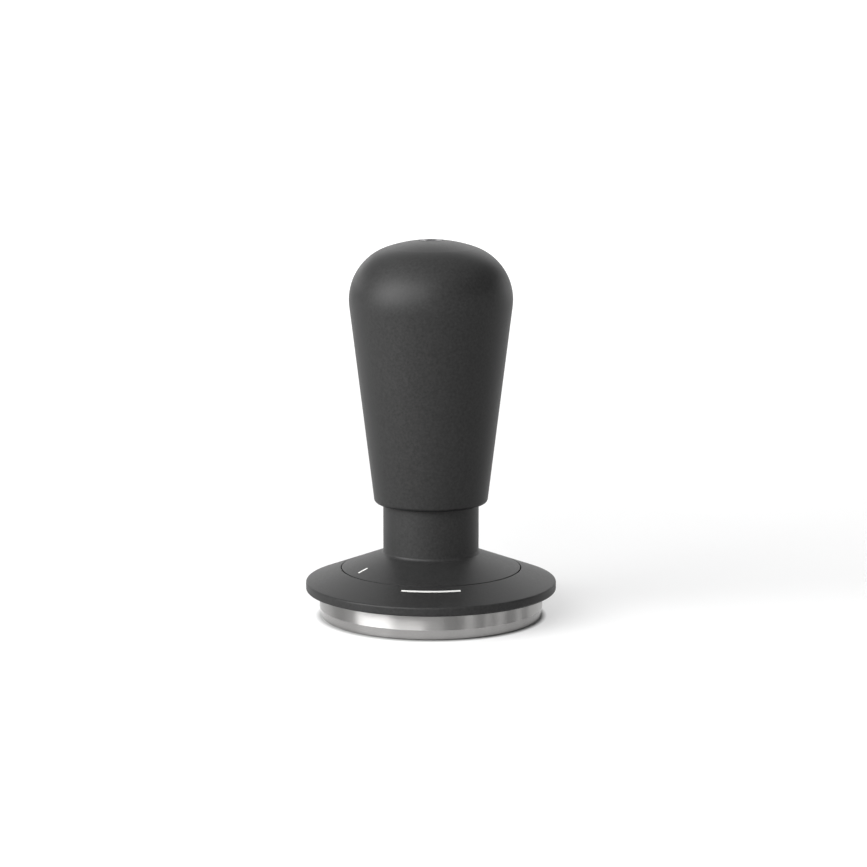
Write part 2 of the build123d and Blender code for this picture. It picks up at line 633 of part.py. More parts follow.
def key_block(width, depth, bottom, top):
    """Block on the back of the neck, reaching from its surface inwards by a depth and out to the bore."""
    outer = grip_bore
    inner = neck_radius - depth
    block = Box(width, outer - inner, top - bottom)
    placed = Pos(0, (outer + inner) / 2, (top + bottom) / 2) * block
    return placed & rod(grip_bore, bottom, top)


def guide_bush():
    """Low-friction bush pressed in the grip's foot, slotted for the key."""
    bush = tube(bush_bore, grip_bore, bush_z, bush_top_z)
    return bush - key_block(KEY_WIDTH, KEY_DEPTH, key_foot_z, bush_top_z + OVERRUN)


def anti_turn_key():
    """Key in the bush that runs in the neck's keyway."""
    return key_block(KEY_WIDTH, KEY_DEPTH - RUNNING_GAP, key_foot_z, bush_top_z)


def neck_wiper():
    """Rubber ring that keeps grounds out of the bush."""
    return tube(neck_radius + RUNNING_GAP, grip_bore, wiper_z, wiper_z + WIPER_HEIGHT)


def bush_clip():
    """Snap ring under the bush."""
    return snap_ring(neck_radius + CLIP_CLEARANCE, grip_bore + CLIP_BITE, bush_clip_z, 90)


def sleeve_clip():
    """Snap ring under the trip sleeve's flange."""
    return snap_ring(neck_radius + CLIP_CLEARANCE, grip_bore + CLIP_BITE, sleeve_clip_z, 90)


def trip_sleeve():
    """Sleeve that carries the hammer on its flange and centres the trip pin with its mouth."""
    flange_edge = grip_bore - RUNNING_GAP / 2
    return turned([
        (sleeve_bore + SLEEVE_MOUTH, sleeve_foot_z),
        (sleeve_radius, sleeve_foot_z),
        (sleeve_radius, ledge_z),
        (flange_edge, ledge_z),
        (flange_edge, ledge_top_z),
        (sleeve_bore, ledge_top_z),
        (sleeve_bore, sleeve_foot_z + SLEEVE_MOUTH),
    ])


def return_spring():
    """Light spring between the anvil and the trip sleeve that lifts the grip."""
    return coil(return_outer, RETURN_WIRE, anvil_top_z, ledge_z, RETURN_TURNS)


def seat_pins():
    """Pins in the grip's ceiling that stop the spring seat turning."""
    pin = rod(SEAT_PIN_RADIUS, seat_pin_z, ceiling_z + SEAT_PIN_BITE)
    return [Pos(x, y, 0) * pin for x, y in around(SEAT_PIN_COUNT, seat_pin_circle)]


def thrust_washer():
    """Bronze washer between the adjuster's flange and the ceiling."""
    return tube(ADJUSTER_HEAD_RADIUS + RUNNING_GAP, ADJUSTER_FLANGE_RADIUS, washer_z + SEAT_GAP, ceiling_z)


# ================================================================ hammer and adjuster
def hammer():
    """Steel striker with a shank in the sleeve, a wide head and a bore that drops over the pin."""
    bore = PIN_TIP_RADIUS + HAMMER_BORE_MARGIN
    bore_end = hammer_foot_z + STROKE + HAMMER_BORE_SPARE
    pocket = main_spring_outer + LOOSE_GAP
    return turned([
        (bore, hammer_foot_z),
        (shank_radius - HAMMER_EDGE, hammer_foot_z),
        (shank_radius, hammer_foot_z + HAMMER_EDGE),
        (shank_radius, hammer_flange_z),
        (hammer_flange_radius, hammer_flange_z),
        (hammer_flange_radius, hammer_top_z - HAMMER_EDGE),
        (hammer_flange_radius - HAMMER_EDGE, hammer_top_z),
        (pocket, hammer_top_z),
        (pocket, spring_pocket_z),
        (0, spring_pocket_z),
        (0, bore_end),
        (bore, bore_end),
    ])


def main_spring():
    """Heavy spring between the hammer's pocket and the spring seat."""
    return coil(main_spring_outer, MAIN_WIRE, spring_pocket_z, seat_z, MAIN_TURNS)


def spring_seat():
    """Threaded seat on the adjuster, held from turning by the seat pins."""
    seat = tube(ADJUSTER_THREAD_RADIUS + RUNNING_GAP, grip_upper_bore - 3 * LOOSE_GAP, seat_z, seat_top_z)
    for x, y in around(SEAT_PIN_COUNT, seat_pin_circle):
        seat -= rod(SEAT_PIN_RADIUS + 2 * RUNNING_GAP, seat_z - OVERRUN, seat_top_z + OVERRUN, x, y)
    return seat


def adjuster_screw():
    """Captive screw: its head shows in the crown, its flange bears on the washer."""
    screw = turned([
        (0, thread_end_z),
        (ADJUSTER_THREAD_RADIUS - ADJUSTER_THREAD_EDGE, thread_end_z),
        (ADJUSTER_THREAD_RADIUS, thread_end_z + ADJUSTER_THREAD_EDGE),
        (ADJUSTER_THREAD_RADIUS, adjuster_flange_z),
        (ADJUSTER_FLANGE_RADIUS, adjuster_flange_z),
        (ADJUSTER_FLANGE_RADIUS, washer_z),
        (ADJUSTER_HEAD_RADIUS, washer_z),
        (ADJUSTER_HEAD_RADIUS, adjuster_top_z - ADJUSTER_EDGE),
        (ADJUSTER_HEAD_RADIUS - ADJUSTER_EDGE, adjuster_top_z),
        (0, adjuster_top_z),
    ])
    hexagon = RegularPolygon(ADJUSTER_HEX / 2, 6, major_radius=False)
    return screw - Pos(0, 0, adjuster_top_z) * extrude(hexagon, -ADJUSTER_HEX_DEPTH)


# ================================================================ write every sub-part
PARTS = [
    base_disc, base_hub, hub_screws, flange_ring, flange_mark, stop_pin, neck_housing, index_tick,
    anvil, trip_pin, pin_spring, guide_pins, neck_clip, bump_stop, flange_wire, click_spring,
    click_rivets, grip_shell, guide_bush, anti_turn_key, neck_wiper, bush_clip, sleeve_clip,
    trip_sleeve, return_spring, seat_pins, thrust_washer, hammer, main_spring, spring_seat,
    adjuster_screw,
]

os.makedirs("parts", exist_ok=True)
for make in PARTS:
    made = make()
    shape = Compound(children=made) if isinstance(made, list) else made
    export_step(shape, f"parts/{make.__name__}.step")
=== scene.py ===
import logging
from dataclasses import dataclass
from enum import Enum
from math import cos, pi, radians, sin
from typing import Any

import bpy
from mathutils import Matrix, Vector


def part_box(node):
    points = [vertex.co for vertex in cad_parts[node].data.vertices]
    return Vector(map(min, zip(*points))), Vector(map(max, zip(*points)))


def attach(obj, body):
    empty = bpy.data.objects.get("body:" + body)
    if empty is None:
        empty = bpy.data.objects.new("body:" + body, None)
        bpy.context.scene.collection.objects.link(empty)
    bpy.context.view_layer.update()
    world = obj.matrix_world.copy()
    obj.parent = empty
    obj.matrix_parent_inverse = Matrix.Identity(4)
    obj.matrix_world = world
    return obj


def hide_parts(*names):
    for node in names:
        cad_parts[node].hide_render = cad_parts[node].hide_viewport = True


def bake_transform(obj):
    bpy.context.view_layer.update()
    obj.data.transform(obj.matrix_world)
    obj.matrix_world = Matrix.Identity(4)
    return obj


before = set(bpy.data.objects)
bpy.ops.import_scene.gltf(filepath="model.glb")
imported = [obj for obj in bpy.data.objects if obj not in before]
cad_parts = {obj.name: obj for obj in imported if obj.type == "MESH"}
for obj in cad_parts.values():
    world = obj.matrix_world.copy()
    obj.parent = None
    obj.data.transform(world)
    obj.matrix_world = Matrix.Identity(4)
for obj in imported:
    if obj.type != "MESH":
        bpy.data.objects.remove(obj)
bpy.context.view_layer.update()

MM = 0.001
LOG = logging.getLogger("tamper")

Link = tuple[bpy.types.Node, int | str]
Tree = bpy.types.NodeTree


# ------------------------------------------------------------------ helpers
def srgb(hex_code: str) -> tuple[float, float, float, float]:
    """Turn a hex colour into the linear values that shaders take.

    Args:
        hex_code: An sRGB colour such as "#1b1b1c".

    Returns:
        Linear red, green, blue and an alpha of one.
    """
    digits = hex_code.lstrip("#")
    parts = [int(digits[i:i + 2], 16) / 255 for i in (0, 2, 4)]
    red, green, blue = [c / 12.92 if c <= 0.04045 else ((c + 0.055) / 1.055) ** 2.4 for c in parts]
    return red, green, blue, 1.0


def add(tree: Tree, kind: str, settings: dict[str, Any] | None = None,
        inputs: dict[int | str, Any] | None = None) -> bpy.types.Node:
    """Add a node with its settings, and set or link its inputs.

    Args:
        tree: The node tree that gets the node.
        kind: The node's type name in Blender.
        settings: Properties of the node itself.
        inputs: Input name or index to a value, or to a (node, output) pair that is linked to it.

    Returns:
        The new node.
    """
    node = tree.nodes.new(kind)
    for name, value in (settings or {}).items():
        setattr(node, name, value)
    for name, value in (inputs or {}).items():
        socket = node.inputs[name]
        if isinstance(value, tuple) and len(value) == 2 and isinstance(value[0], bpy.types.Node):
            tree.links.new(value[0].outputs[value[1]], socket)
        else:
            socket.default_value = value
    return node


def bare_material(name: str) -> bpy.types.Material:
    """Make a material whose node tree is empty.

    Args:
        name: The material's name.

    Returns:
        The new material.
    """
    made = bpy.data.materials.new(name)
    made.use_nodes = True
    made.node_tree.nodes.clear()
    return made


# ------------------------------------------------------------------ finishes
NOISE_LOW, NOISE_HIGH = 0.25, 0.75      # nearly all of a noise texture lies between these
MARK_DETAIL, MARK_ROUGHNESS = 3.0, 0.6  # how the noise of the fine marks breaks up
CLOUD_DETAIL, CLOUD_ROUGHNESS = 4.0, 0.55
ACROSS = 0.25                           # a quarter turn, as anisotropic rotation


class Grain(Enum):
    """How a finish's fine marks lie on the surface."""

    EVEN = "even"            # blasted or moulded, the same in every direction
    TURNED = "turned"        # rings about the tool's axis, left by a lathe or a grinding wheel
    DRAWN = "drawn"          # lines along a wire, near enough the same as rings here


@dataclass(frozen=True)
class Finish:
    """A surface finish with fine marks of a real size.

    Attributes:
        name: The material's name.
        colour: Its hex colour.
        metallic: One where metal shows, less under dark oxide, zero for dyed anodising and what isn't metal.
        roughness: Mean roughness.
        roughness_spread: How far the roughness wanders either way.
        grain: How the fine marks lie.
        grain_mm: Spacing of the fine marks.
        grain_depth_mm: Height of the fine marks.
        cloud_mm: Size of the faint, wide patches of tone.
        cloud: How strong those patches are, as a share of the colour.
        fleck: How strongly the fine marks change the colour, as a share of it.
        specular: Specular level of a material that isn't metal.
        anisotropic: How far the marks stretch highlights across themselves.
        polished_mm: Height below which the surface is polished finer, or zero for nowhere.
        polished_blend_mm: Height over which the two polishes meet.
        polish: Roughness of the finer part, as a share of the rest.
    """

    name: str
    colour: str
    metallic: float
    roughness: float
    roughness_spread: float
    grain: Grain
    grain_mm: float
    grain_depth_mm: float
    cloud_mm: float = 14.0
    cloud: float = 0.08
    fleck: float = 0.05
    specular: float = 0.5
    anisotropic: float = 0.0
    polished_mm: float = 0.0
    polished_blend_mm: float = 0.1
    polish: float = 0.5

    def place(self, tree: Tree, spot: bpy.types.Node) -> Link:
        """Make the coordinates that the fine marks are drawn in.

        Args:
            tree: The material's node tree.
            spot: Its texture coordinates.

        Returns:
            The node and output that hold the coordinates, in metres.
        """
        if self.grain is Grain.EVEN:
            return spot, "Object"
        # Rings: keep the height and the distance from the axis, and let the angle change nothing.
        split = add(tree, "ShaderNodeSeparateXYZ", None, {0: (spot, "Object")})
        flat = add(tree, "ShaderNodeCombineXYZ", None, {0: (split, 0), 1: (split, 1)})
        reach = add(tree, "ShaderNodeVectorMath", {"operation": "LENGTH"}, {0: (flat, 0)})
        rings = add(tree, "ShaderNodeCombineXYZ", None, {0: (reach, "Value"), 1: (split, 2)})
        return rings, 0

    def swing(self, tree: Tree, noise: bpy.types.Node, middle: float, spread: float) -> Link:
        """Turn a noise into a value that swings about a middle.

        Args:
            tree: The material's node tree.
            noise: The noise texture.
            middle: The value's middle.
            spread: How far it swings either way.

        Returns:
            The node and output that hold the value.
        """
        swung = add(tree, "ShaderNodeMapRange", None, {
            "Value": (noise, 0), "From Min": NOISE_LOW, "From Max": NOISE_HIGH,
            "To Min": middle - spread, "To Max": middle + spread})
        return swung, 0

    def polished(self, tree: Tree, spot: bpy.types.Node, rough: Link) -> Link:
        """Lower the roughness where the surface is polished finer.

        Args:
            tree: The material's node tree.
            spot: Its texture coordinates.
            rough: The roughness of the rest.

        Returns:
            The node and output that hold the roughness.
        """
        height = add(tree, "ShaderNodeSeparateXYZ", None, {0: (spot, "Object")})
        share = add(tree, "ShaderNodeMapRange", None, {
            "Value": (height, 2), "To Min": self.polish, "To Max": 1.0,
            "From Min": (self.polished_mm - self.polished_blend_mm / 2) * MM,
            "From Max": (self.polished_mm + self.polished_blend_mm / 2) * MM})
        lowered = add(tree, "ShaderNodeMath", {"operation": "MULTIPLY"}, {0: rough, 1: (share, 0)})
        return lowered, 0

    def material(self) -> bpy.types.Material:
        """Build the material, or hand back the one that stands.

        Returns:
            The node material.
        """
        made = bpy.data.materials.get(self.name)
        if made:
            return made
        made = bare_material(self.name)
        tree = made.node_tree
        spot = add(tree, "ShaderNodeTexCoord")
        marks = add(tree, "ShaderNodeTexNoise", None, {
            "Vector": self.place(tree, spot), "Scale": 1 / (self.grain_mm * MM),
            "Detail": MARK_DETAIL, "Roughness": MARK_ROUGHNESS})
        clouds = add(tree, "ShaderNodeTexNoise", None, {
            "Vector": (spot, "Object"), "Scale": 1 / (self.cloud_mm * MM),
            "Detail": CLOUD_DETAIL, "Roughness": CLOUD_ROUGHNESS})
        tone = add(tree, "ShaderNodeMath", {"operation": "MULTIPLY"}, {
            0: self.swing(tree, clouds, 1.0, self.cloud), 1: self.swing(tree, marks, 1.0, self.fleck)})
        colour = add(tree, "ShaderNodeVectorMath", {"operation": "SCALE"}, {
            0: srgb(self.colour)[:3], "Scale": (tone, 0)})
        rough = self.swing(tree, marks, self.roughness, self.roughness_spread)
        if self.polished_mm:
            rough = self.polished(tree, spot, rough)
        bump = add(tree, "ShaderNodeBump", None, {
            "Strength": 1.0, "Distance": self.grain_depth_mm * MM, "Height": (marks, 0)})
        shader = add(tree, "ShaderNodeBsdfPrincipled", None, {
            "Base Color": (colour, 0), "Roughness": rough, "Normal": (bump, 0),
            "Metallic": self.metallic, "Specular IOR Level": self.specular,
            "Anisotropic": self.anisotropic})
        if self.anisotropic:
            # The tangent runs along the rings. A quarter turn stretches highlights across them.
            tangent = add(tree, "ShaderNodeTangent", {"direction_type": "RADIAL", "axis": "Z"})
            tree.links.new(tangent.outputs[0], shader.inputs["Tangent"])
            shader.inputs["Anisotropic Rotation"].default_value = ACROSS
        add(tree, "ShaderNodeOutputMaterial", None, {"Surface": (shader, 0)})
        return made


# Bead-blasted and black anodised aluminium: a soft, nearly even sheen with a fine sparkle.
# The blast marks are about 0.1 mm apart, and are drawn at 0.65 mm so that they show.
BLACK_ANODISED = Finish(
    "black_anodised_aluminium", "#232323", metallic=0.0, roughness=0.47, roughness_spread=0.05,
    grain=Grain.EVEN, grain_mm=0.65, grain_depth_mm=0.006, cloud_mm=9.0, cloud=0.06, fleck=0.34,
    specular=0.18)
# Stainless steel turned on a lathe: bright, with rings a feed of 0.12 mm apart that pull highlights
# upright. The bevel, below 2.7 mm, is polished finer.
TURNED_STAINLESS = Finish(
    "turned_stainless_steel", "#999897", metallic=1.0, roughness=0.38, roughness_spread=0.02,
    grain=Grain.TURNED, grain_mm=0.12, grain_depth_mm=0.0004, cloud=0.03, anisotropic=1.0,
    polished_mm=2.7, polish=0.5)
# Hardened and ground steel, with the faint rings of the grinding wheel.
GROUND_STEEL = Finish(
    "ground_tool_steel", "#9a9a9b", metallic=1.0, roughness=0.32, roughness_spread=0.06,
    grain=Grain.TURNED, grain_mm=0.2, grain_depth_mm=0.001, cloud=0.05, anisotropic=0.4)
# Black oxide on a small screw: dark and slightly oily.
BLACK_OXIDE = Finish(
    "black_oxide_steel", "#2a2a2c", metallic=0.6, roughness=0.38, roughness_spread=0.06,
    grain=Grain.TURNED, grain_mm=0.25, grain_depth_mm=0.002, cloud=0.1)
# Clear anodised aluminium as it leaves the lathe.
CLEAR_ANODISED = Finish(
    "clear_anodised_aluminium", "#b9bbbd", metallic=1.0, roughness=0.36, roughness_spread=0.05,
    grain=Grain.TURNED, grain_mm=0.2, grain_depth_mm=0.0015, cloud=0.04)
# Drawn spring wire with the faint lines of the die.
SPRING_WIRE = Finish(
    "drawn_spring_wire", "#8b8c8e", metallic=1.0, roughness=0.28, roughness_spread=0.06,
    grain=Grain.DRAWN, grain_mm=0.15, grain_depth_mm=0.001, cloud=0.06)
# Turned acetal, waxy and off-white.
ACETAL = Finish(
    "turned_acetal", "#dcdad2", metallic=0.0, roughness=0.42, roughness_spread=0.04,
    grain=Grain.TURNED, grain_mm=0.3, grain_depth_mm=0.001, cloud=0.03)
# Moulded nitrile rubber with a dull, powdery face.
NITRILE = Finish(
    "nitrile_rubber", "#191919", metallic=0.0, roughness=0.78, roughness_spread=0.06,
    grain=Grain.EVEN, grain_mm=0.35, grain_depth_mm=0.006, cloud=0.1, specular=0.3)
# Bearing bronze, brown-gold and softly worn.
BRONZE = Finish(
    "bearing_bronze", "#a77b45", metallic=1.0, roughness=0.34, roughness_spread=0.06,
    grain=Grain.TURNED, grain_mm=0.25, grain_depth_mm=0.001, cloud=0.1)
# White enamel that fills the two marks, a little short of paper white.
WHITE_ENAMEL = Finish(
    "white_enamel_paint", "#c6c6c4", metallic=0.0, roughness=0.45, roughness_spread=0.04,
    grain=Grain.EVEN, grain_mm=0.3, grain_depth_mm=0.002, cloud=0.02)


# ------------------------------------------------------------------ springs
class SpringTree:
    """A geometry node tree that winds a compression spring with closed ends."""

    NAME = "compression_spring"
    SIZES = ("Wire Radius", "Coil Radius", "Bottom", "Top",
             "Turns", "Closed Share", "First Share", "Last Share")
    STEPS_A_TURN = 40
    WIRE_SIDES = 14

    def build(self) -> Tree:
        """Build the tree, or hand back the one that stands.

        Returns:
            The tree, with one input for each name in SIZES and one for the material.
        """
        tree = bpy.data.node_groups.get(self.NAME)
        if tree:
            return tree
        tree = bpy.data.node_groups.new(self.NAME, "GeometryNodeTree")
        for size in self.SIZES:
            tree.interface.new_socket(size, in_out="INPUT", socket_type="NodeSocketFloat")
        tree.interface.new_socket("Finish", in_out="INPUT", socket_type="NodeSocketMaterial")
        tree.interface.new_socket("Geometry", in_out="OUTPUT", socket_type="NodeSocketGeometry")
        sizes = add(tree, "NodeGroupInput")
        wire = add(tree, "GeometryNodeMeshToCurve", None, {"Mesh": self.line(tree, sizes)})
        curved = add(tree, "GeometryNodeSetPosition", None, {
            "Geometry": (wire, 0), "Position": self.helix(tree, sizes)})
        section = add(tree, "GeometryNodeCurvePrimitiveCircle", None, {
            "Resolution": self.WIRE_SIDES, "Radius": (sizes, "Wire Radius")})
        solid = add(tree, "GeometryNodeCurveToMesh", None, {
            "Curve": (curved, 0), "Profile Curve": (section, 0), "Fill Caps": True})
        whole = add(tree, "GeometryNodeRealizeInstances", None, {"Geometry": (solid, 0)})
        dressed = add(tree, "GeometryNodeSetMaterial", None, {
            "Geometry": (whole, 0), "Material": (sizes, "Finish")})
        add(tree, "NodeGroupOutput", None, {"Geometry": (dressed, 0)})
        return tree

    def line(self, tree: Tree, sizes: bpy.types.Node) -> Link:
        """Make a straight line with the points that the wound stretch of wire needs.

        Args:
            tree: The tree under construction.
            sizes: Its input node.

        Returns:
            The node and output that hold the line.
        """
        stretch = add(tree, "ShaderNodeMath", {"operation": "SUBTRACT"}, {
            0: (sizes, "Last Share"), 1: (sizes, "First Share")})
        wound = add(tree, "ShaderNodeMath", {"operation": "MULTIPLY"}, {0: (sizes, "Turns"), 1: (stretch, 0)})
        steps = add(tree, "ShaderNodeMath", {"operation": "MULTIPLY_ADD"}, {
            0: (wound, 0), 1: float(self.STEPS_A_TURN), 2: 1.0})
        made = add(tree, "GeometryNodeMeshLine", {"mode": "END_POINTS", "count_mode": "TOTAL"}, {
            "Count": (steps, 0), "Start Location": (0, 0, 0), "Offset": (1, 0, 0)})
        return made, 0

    def helix(self, tree: Tree, sizes: bpy.types.Node) -> Link:
        """Make each point's place on the helix.

        The share of the whole wire that lies below a point gives its angle and its height.

        Args:
            tree: The tree under construction.
            sizes: Its input node.

        Returns:
            The node and output that hold the place.
        """
        way = add(tree, "GeometryNodeSplineParameter")
        share = add(tree, "ShaderNodeMapRange", None, {
            "Value": (way, "Factor"), "To Min": (sizes, "First Share"), "To Max": (sizes, "Last Share")})
        turn = add(tree, "ShaderNodeMath", {"operation": "MULTIPLY"}, {0: (share, 0), 1: (sizes, "Turns")})
        angle = add(tree, "ShaderNodeMath", {"operation": "MULTIPLY"}, {0: (turn, 0), 1: 2 * pi})
        flat = []
        for wave in ("COSINE", "SINE"):
            part = add(tree, "ShaderNodeMath", {"operation": wave}, {0: (angle, 0)})
            flat.append(add(tree, "ShaderNodeMath", {"operation": "MULTIPLY"}, {
                0: (part, 0), 1: (sizes, "Coil Radius")}))
        spot = add(tree, "ShaderNodeCombineXYZ", None, {
            0: (flat[0], 0), 1: (flat[1], 0), 2: self.height(tree, sizes, (share, 0))})
        return spot, 0

    def height(self, tree: Tree, sizes: bpy.types.Node, share: Link) -> Link:
        """Make the wire's height: level over the closed ends, steady between them.

        Args:
            tree: The tree under construction.
            sizes: Its input node.
            share: The share of the wire that lies below the point.

        Returns:
            The node and output that hold the height.
        """
        open_end = add(tree, "ShaderNodeMath", {"operation": "SUBTRACT"}, {
            0: 1.0, 1: (sizes, "Closed Share")})
        low = add(tree, "ShaderNodeMath", {"operation": "ADD"}, {
            0: (sizes, "Bottom"), 1: (sizes, "Wire Radius")})
        high = add(tree, "ShaderNodeMath", {"operation": "SUBTRACT"}, {
            0: (sizes, "Top"), 1: (sizes, "Wire Radius")})
        rise = add(tree, "ShaderNodeMapRange", {"interpolation_type": "LINEAR", "clamp": True}, {
            "Value": share, "From Min": (sizes, "Closed Share"), "From Max": (open_end, 0),
            "To Min": (low, 0), "To Max": (high, 0)})
        return rise, 0


@dataclass(frozen=True)
class Spring:
    """A compression spring, wound in place of its plain CAD coil.

    Attributes:
        node: The CAD node that it replaces.
        wire_mm: Wire diameter.
        turns: Turns of the whole coil, the closed ones too.
        closed: Turns closed at each end.
    """

    node: str
    wire_mm: float
    turns: float
    closed: float

    def level(self, share: float) -> float:
        """Find the height of the wire's middle at a place along it.

        Args:
            share: The share of the whole wire that lies below the place.

        Returns:
            The height in metres.
        """
        low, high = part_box(self.node)
        wire, closed = self.wire_mm * MM, self.closed / self.turns
        return low[2] + wire / 2 + (high[2] - low[2] - wire) * (share - closed) / (1 - 2 * closed)

    def sizes(self, first: float, last: float) -> dict[str, Any]:
        """Give the tree's inputs for a stretch of the wire, by name.

        Args:
            first: The share of the wire below the stretch.
            last: The share of the wire below the stretch's upper end.

        Returns:
            The value for each name in SpringTree.SIZES.
        """
        low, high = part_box(self.node)
        wire = self.wire_mm * MM / 2
        values = (wire, high[0] - wire, low[2], high[2], self.turns, self.closed / self.turns, first, last)
        return dict(zip(SpringTree.SIZES, values))

    def wind(self, finish: Finish, name: str = "coil", first: float = 0.0,
             last: float = 1.0) -> bpy.types.Object:
        """Wind the spring, or a stretch of it, between the ends of its CAD coil.

        Args:
            finish: The wire's finish.
            name: The piece's name after that of the CAD node.
            first: The share of the wire below the stretch.
            last: The share of the wire below the stretch's upper end.

        Returns:
            The wound spring as a plain mesh object.
        """
        tree = SpringTree().build()
        carrier = bpy.data.objects.new(f"{self.node}_tree", bpy.data.meshes.new("empty"))
        bpy.context.collection.objects.link(carrier)
        modifier = carrier.modifiers.new("wind", "NODES")
        modifier.node_group = tree
        values = {**self.sizes(first, last), "Finish": finish.material()}
        for item in tree.interface.items_tree:
            if item.in_out == "INPUT":
                modifier[item.identifier] = values[item.name]
        ready = carrier.evaluated_get(bpy.context.evaluated_depsgraph_get())
        mesh = bpy.data.meshes.new_from_object(ready)
        bpy.data.objects.remove(carrier)
        for face in mesh.polygons:
            face.use_smooth = True
        piece = bpy.data.objects.new(f"{self.node}_{name}", mesh)
        bpy.context.collection.objects.link(piece)
        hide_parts(self.node)
        LOG.info("%s: %d faces", piece.name, len(mesh.polygons))
        return piece


# ------------------------------------------------------------------ sub-assemblies
Wardrobe = tuple[tuple[Finish, tuple[str, ...]], ...]


@dataclass
class SubAssembly:
    """Pieces that come off the tool together, each in its finish.

    Attributes:
        wardrobe: Each finish with the CAD nodes that wear it.
    """

    wardrobe: Wardrobe = ()

    def dress(self) -> None:
        """Give each CAD node its finish in place of the one that it was imported with."""
        for finish, names in self.wardrobe:
            for name in names:
                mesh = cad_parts[name].data
                mesh.materials.clear()
                mesh.materials.append(finish.material())
                LOG.info("%s: %s", name, finish.name)

    def build(self) -> None:
        """Build the sub-assembly. One without springs only has to be dressed."""
        self.dress()


@dataclass
class Housing(SubAssembly):
    """Neck, cone and skirt, and what is fixed inside them.

    Attributes:
        pin_spring: The light spring under the trip pin's foot.
    """

    wardrobe: Wardrobe = (
        (BLACK_ANODISED, ("neck_housing",)),
        (WHITE_ENAMEL, ("index_tick",)),
        (GROUND_STEEL, ("anvil", "trip_pin", "guide_pins")),
        (SPRING_WIRE, ("neck_clip", "flange_wire", "click_spring")),
        (BRONZE, ("click_rivets",)),
        (NITRILE, ("bump_stop",)),
    )
    pin_spring: Spring = Spring("pin_spring", wire_mm=0.8, turns=2.5, closed=0.6)

    def build(self) -> None:
        """Dress the housing and wind the spring under its trip pin."""
        self.dress()
        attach(self.pin_spring.wind(SPRING_WIRE), "housing")


@dataclass
class Grip(SubAssembly):
    """The grip, its bush and sleeve, and the spring that lifts it.

    Attributes:
        return_spring: The soft spring between the anvil and the trip sleeve.
    """

    wardrobe: Wardrobe = (
        (BLACK_ANODISED, ("grip_shell",)),
        (ACETAL, ("guide_bush",)),
        (NITRILE, ("neck_wiper",)),
        (GROUND_STEEL, ("anti_turn_key", "trip_sleeve", "seat_pins")),
        (SPRING_WIRE, ("bush_clip", "sleeve_clip")),
        (BRONZE, ("thrust_washer",)),
    )
    return_spring: Spring = Spring("return_spring", wire_mm=1.1, turns=12.0, closed=1.2)

    def build(self) -> None:
        """Dress the grip and wind its spring between the anvil and the sleeve."""
        self.dress()
        coil = self.return_spring.wind(SPRING_WIRE)
        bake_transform(coil)


@dataclass
class Striker(SubAssembly):
    """The hammer and the heavy spring that drives it.

    Attributes:
        main_spring: The heavy spring, wound in two stretches.
        split: Share of the wire in the lower stretch, at the hammer's end. The rest is at the seat's end.
    """

    wardrobe: Wardrobe = ((GROUND_STEEL, ("hammer",)),)
    main_spring: Spring = Spring("main_spring", wire_mm=1.8, turns=5.1, closed=0.75)
    split: float = 0.62

    def build(self) -> None:
        """Dress the hammer, and wind the heavy spring in two stretches."""
        self.dress()
        middle = (0, 0, self.main_spring.level(self.split))
        lower = self.main_spring.wind(SPRING_WIRE, "coil_lower", 0.0, self.split)
        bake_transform(lower)
        upper = self.main_spring.wind(SPRING_WIRE, "coil_upper", self.split, 1.0)
        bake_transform(upper)


@dataclass
class ForceAdjuster(SubAssembly):
    """The screw in the crown and the seat that it draws up and down."""

    wardrobe: Wardrobe = (
        (BLACK_OXIDE, ("adjuster_screw",)),
        (GROUND_STEEL, ("spring_seat",)),
    )


@dataclass
class DepthFlange(SubAssembly):
    """The ring that sets the depth, with its long mark and stop pin."""

    wardrobe: Wardrobe = (
        (BLACK_ANODISED, ("flange_ring",)),
        (WHITE_ENAMEL, ("flange_mark",)),
        (GROUND_STEEL, ("stop_pin",)),
    )


@dataclass
class TampingBase(SubAssembly):
    """The steel disc, the hub that carries its depth thread and the screws between them."""

    wardrobe: Wardrobe = (
        (TURNED_STAINLESS, ("base_disc",)),
        (CLEAR_ANODISED, ("base_hub",)),
        (BLACK_OXIDE, ("hub_screws",)),
    )


# ------------------------------------------------------------------ studio
WHITE = (1.0, 1.0, 1.0, 1.0)


def compass(azimuth: float, elevation: float) -> Vector:
    """Give the way out from the tool.

    Args:
        azimuth: Degrees to the right of the camera's side, about the tool.
        elevation: Degrees above the floor.

    Returns:
        A vector of length one.
    """
    turn, lift = radians(azimuth), radians(elevation)
    return Vector((sin(turn) * cos(lift), -cos(turn) * cos(lift), sin(lift)))


def seen(tree: Tree) -> Link:
    """Make a mask that is one for what the camera, metal or glass sees directly.

    Args:
        tree: The node tree that gets the mask.

    Returns:
        The node and output that hold the mask.
    """
    path = add(tree, "ShaderNodeLightPath")
    first = add(tree, "ShaderNodeMath", {"operation": "MAXIMUM"}, {
        0: (path, "Is Camera Ray"), 1: (path, "Is Glossy Ray")})
    both = add(tree, "ShaderNodeMath", {"operation": "MAXIMUM"}, {
        0: (first, 0), 1: (path, "Is Transmission Ray")})
    return both, 0


def stage_mesh(name: str, verts: list[tuple[float, float, float]], faces: list[tuple[int, ...]],
               material: bpy.types.Material) -> bpy.types.Object:
    """Make an object of the set, which isn't part of the tool.

    Args:
        name: The object's name.
        verts: Its corners, in metres.
        faces: Its faces, as corner numbers.
        material: What it is made of.

    Returns:
        The object.
    """
    mesh = bpy.data.meshes.new(name)
    mesh.from_pydata(verts, [], faces)
    mesh.materials.append(material)
    stood = bpy.data.objects.new(name, mesh)
    bpy.context.collection.objects.link(stood)
    return stood


